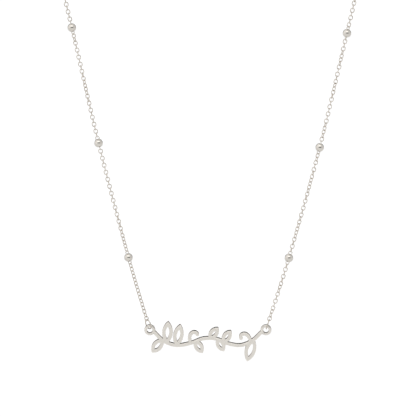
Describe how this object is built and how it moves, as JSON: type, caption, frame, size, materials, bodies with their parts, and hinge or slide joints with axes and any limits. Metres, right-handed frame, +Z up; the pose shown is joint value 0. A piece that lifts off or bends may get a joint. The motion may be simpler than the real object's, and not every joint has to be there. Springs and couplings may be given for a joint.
{
  "type": "nameplate necklace",
  "caption": "Fine silver cable chain necklace with small round beads, joined to both end rings of a flat cut-out plate with a leafy flourish",
  "frame": {"origin": "middle of the clasp, where the chain lies on the nape of the neck", "axes": "+Z up, +X to the viewer's right, the plate faces -Y"},
  "size_m": [0.0906, 0.0838, 0.1403],
  "materials": {
    "plate": "polished flat silver with softly rounded cut edges",
    "chain": "bright silver wire",
    "beads": "mirror-polished silver"
  },
  "bodies": {
    "chain": {"chain_links_left": "chain", "chain_links_right": "chain", "chain_tubes_left": "chain", "chain_tubes_right": "chain", "clasp": "chain", "bead_left_1": "beads", "bead_left_2": "beads", "bead_left_3": "beads", "bead_left_4": "beads", "bead_left_5": "beads", "bead_left_6": "beads", "bead_left_7": "beads", "bead_right_1": "beads", "bead_right_2": "beads", "bead_right_3": "beads", "bead_right_4": "beads", "bead_right_5": "beads", "bead_right_6": "beads", "bead_right_7": "beads"},
    "plate": {"nameplate": "plate", "jump_ring_left": "chain", "jump_ring_right": "chain"}
  },
  "joints": [
    {"name": "plate_swing", "type": "hinge", "parent": "chain", "child": "plate", "pos_m": [0, -0.082, -0.12799], "axis": [1, 0, 0], "range_deg": [-30, 30]}
  ]
}
